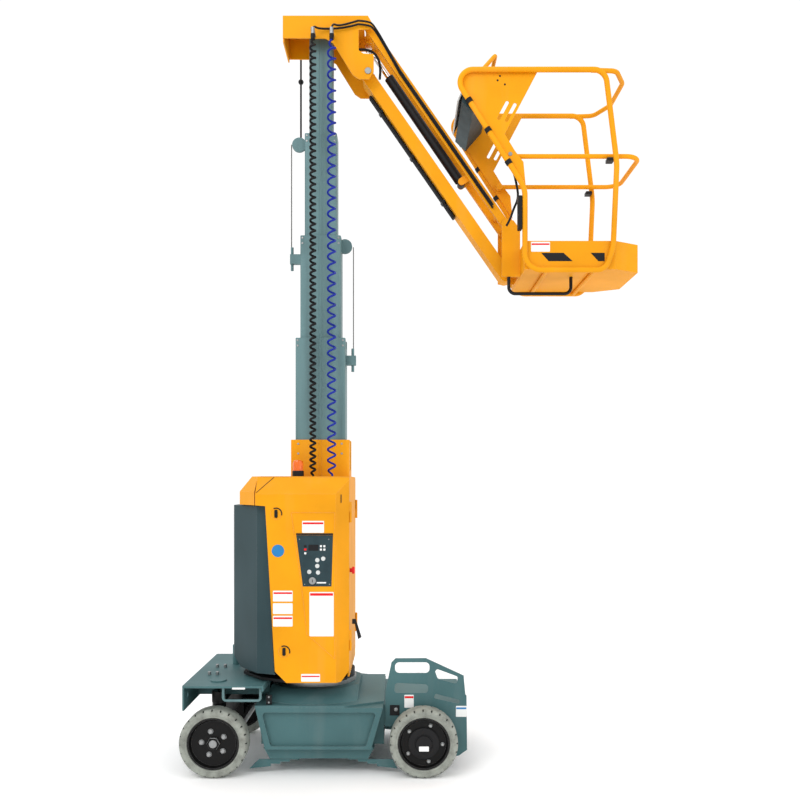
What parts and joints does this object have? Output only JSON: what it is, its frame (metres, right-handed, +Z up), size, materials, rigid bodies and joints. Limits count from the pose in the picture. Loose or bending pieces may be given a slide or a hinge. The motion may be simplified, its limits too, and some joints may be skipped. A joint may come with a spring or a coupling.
{
  "type": "vertical mast lift",
  "caption": "Self-propelled vertical mast lift: slewing turret, telescopic mast, parallelogram jib and a tubular basket on a four-wheel chassis.",
  "frame": {"origin": "on the floor under the slewing axis", "axes": "+X along the chassis towards the basket as stored, +Y across the chassis, +Z up"},
  "size_m": [2.704, 0.99, 4.5309],
  "materials": {
    "yellow_paint": "gloss",
    "chassis_grey": "satin",
    "counterweight_grey": "satin",
    "mast_grey": "anodised",
    "tyre_grey": "matt",
    "rim_black": "gloss",
    "black_plastic": "matt",
    "black_rubber": "matt",
    "blue_rubber": "satin",
    "panel_grey": "satin",
    "steel": "bare",
    "chrome": "polished",
    "red_plastic": "gloss",
    "amber_lens": "clear",
    "battery_black": "matt"
  },
  "bodies": {
    "chassis": {"chassis_frame": "chassis_grey", "steer_deck": "chassis_grey", "side_panels": "chassis_grey", "guard_plate": "chassis_grey", "pothole_guards": "chassis_grey", "turntable": "chassis_grey", "slew_ring": "steel", "steer_beam": "rim_black", "drive_axle": "rim_black", "deck_post": "chassis_grey", "side_bar": "mast_grey"},
    "knuckle_near": {"knuckle_near": "rim_black"},
    "knuckle_far": {"knuckle_far": "rim_black"},
    "tie_rod": {"tie_rod": "steel"},
    "wheel_steer_near": {"tyre_steer_near": "tyre_grey", "rim_steer_near": "rim_black"},
    "wheel_steer_far": {"tyre_steer_far": "tyre_grey", "rim_steer_far": "rim_black"},
    "wheel_drive_near": {"tyre_drive_near": "tyre_grey", "rim_drive_near": "rim_black"},
    "wheel_drive_far": {"tyre_drive_far": "tyre_grey", "rim_drive_far": "rim_black"},
    "turret": {"turret_base": "black_plastic", "mast_base": "yellow_paint", "counterweight": "counterweight_grey", "battery_pack": "battery_black", "roof_cap": "yellow_paint", "front_panel": "yellow_paint", "emergency_stop": "red_plastic", "beacon": "amber_lens", "curly_cord_black": "black_rubber", "curly_cord_blue": "blue_rubber"},
    "cover_near": {"cover_near": "yellow_paint", "control_panel": "panel_grey"},
    "cover_far": {"cover_far": "yellow_paint"},
    "mast_1": {"mast_stage_1": "mast_grey", "chain_right": "steel"},
    "mast_2": {"mast_stage_2": "mast_grey", "chain_left": "steel"},
    "mast_3": {"mast_stage_3": "mast_grey"},
    "mast_4": {"mast_stage_4": "mast_grey", "mast_head": "yellow_paint", "head_rod": "black_plastic", "cord_glands": "steel"},
    "lower_arm": {"jib_lower_arm": "yellow_paint"},
    "upper_arm": {"jib_upper_arm": "yellow_paint"},
    "jib_barrel": {"jib_cylinder": "black_plastic"},
    "jib_rod": {"jib_rod": "chrome"},
    "basket": {"basket_mount": "yellow_paint", "basket_frame": "yellow_paint", "basket_floor": "yellow_paint", "basket_side_plates": "yellow_paint", "basket_console": "panel_grey", "step_loop": "black_plastic"},
    "gate": {"gate_bar": "yellow_paint"}
  },
  "joints": [
    {"name": "slew", "type": "hinge", "parent": "chassis", "child": "turret", "pos_m": [0, 0, 0.49], "axis": [0, 0, 1], "range_deg": [-172.5, 172.5]},
    {"name": "mast_lift", "type": "slide", "parent": "turret", "child": "mast_1", "axis": [0, 0, 1], "range_m": [-0.57, 0.6], "deforming": ["curly_cord_black", "curly_cord_blue"]},
    {"name": "mast_lift_2", "type": "slide", "parent": "mast_1", "child": "mast_2", "axis": [0, 0, 1], "range_m": [-0.57, 0.6], "deforming": ["chain_right"]},
    {"name": "mast_lift_3", "type": "slide", "parent": "mast_2", "child": "mast_3", "axis": [0, 0, 1], "range_m": [-0.57, 0.6], "deforming": ["chain_left"]},
    {"name": "mast_lift_4", "type": "slide", "parent": "mast_3", "child": "mast_4", "axis": [0, 0, 1], "range_m": [-0.57, 0.6]},
    {"name": "jib", "type": "hinge", "parent": "mast_4", "child": "lower_arm", "pos_m": [0.319, 0, 4.194], "axis": [0, 1, 0], "range_deg": [-125.3, 4.7]},
    {"name": "jib_upper", "type": "hinge", "parent": "mast_4", "child": "upper_arm", "pos_m": [0.314, 0, 4.494], "axis": [0, 1, 0], "range_deg": [-125.3, 4.7]},
    {"name": "basket_level", "type": "hinge", "parent": "lower_arm", "child": "basket", "pos_m": [1.1695, 0, 2.96572], "axis": [0, 1, 0], "range_deg": [-4.7, 125.3]},
    {"name": "jib_cylinder_foot", "type": "hinge", "parent": "upper_arm", "child": "jib_barrel", "pos_m": [0.89676, 0, 3.55226], "axis": [0, 1, 0], "range_deg": [-6, 6]},
    {"name": "jib_cylinder_rod", "type": "slide", "parent": "jib_barrel", "child": "jib_rod", "axis": [-0.5638, 0, 0.8259], "range_m": [-0.03, 0.18]},
    {"name": "gate", "type": "hinge", "parent": "basket", "child": "gate", "pos_m": [1.165, 0, 3.623], "axis": [0, -1, 0], "range_deg": [0, 45]},
    {"name": "cover_near", "type": "hinge", "parent": "turret", "child": "cover_near", "pos_m": [0.224, -0.338, 1.1], "axis": [0, 0, 1], "range_deg": [0, 95]},
    {"name": "cover_far", "type": "hinge", "parent": "turret", "child": "cover_far", "pos_m": [0.224, 0.338, 1.1], "axis": [0, 0, -1], "range_deg": [0, 95]},
    {"name": "steer_near", "type": "hinge", "parent": "chassis", "child": "knuckle_near", "pos_m": [-0.55, -0.33, 0.3], "axis": [0, 0, 1], "range_deg": [-40, 40]},
    {"name": "steer_far", "type": "hinge", "parent": "chassis", "child": "knuckle_far", "pos_m": [-0.55, 0.33, 0.3], "axis": [0, 0, 1], "range_deg": [-40, 40]},
    {"name": "tie_rod_pin", "type": "hinge", "parent": "knuckle_near", "child": "tie_rod", "pos_m": [-0.43, -0.33, 0.23], "axis": [0, 0, 1], "range_deg": [-40, 40]},
    {"name": "wheel_steer_near", "type": "hinge", "parent": "knuckle_near", "child": "wheel_steer_near", "pos_m": [-0.55, -0.4325, 0.195], "axis": [0, 1, 0], "continuous": true},
    {"name": "wheel_steer_far", "type": "hinge", "parent": "knuckle_far", "child": "wheel_steer_far", "pos_m": [-0.55, 0.4325, 0.195], "axis": [0, 1, 0], "continuous": true},
    {"name": "wheel_drive_near", "type": "hinge", "parent": "chassis", "child": "wheel_drive_near", "pos_m": [0.65, -0.4325, 0.195], "axis": [0, 1, 0], "continuous": true},
    {"name": "wheel_drive_far", "type": "hinge", "parent": "chassis", "child": "wheel_drive_far", "pos_m": [0.65, 0.4325, 0.195], "axis": [0, 1, 0], "continuous": true}
  ],
  "couplings": [
    {"joint": "mast_lift_2", "follows": "mast_lift", "ratio": 1},
    {"joint": "mast_lift_3", "follows": "mast_lift", "ratio": 1},
    {"joint": "mast_lift_4", "follows": "mast_lift", "ratio": 1},
    {"joint": "jib_upper", "follows": "jib", "ratio": 1},
    {"joint": "basket_level", "follows": "jib", "ratio": -1},
    {"joint": "jib_cylinder_foot", "follows": "jib", "ratio": -0.00506},
    {"joint": "jib_cylinder_rod", "follows": "jib", "m_per_rad": -0.07622},
    {"joint": "steer_far", "follows": "steer_near", "ratio": 1},
    {"joint": "tie_rod_pin", "follows": "steer_near", "ratio": -1}
  ]
}
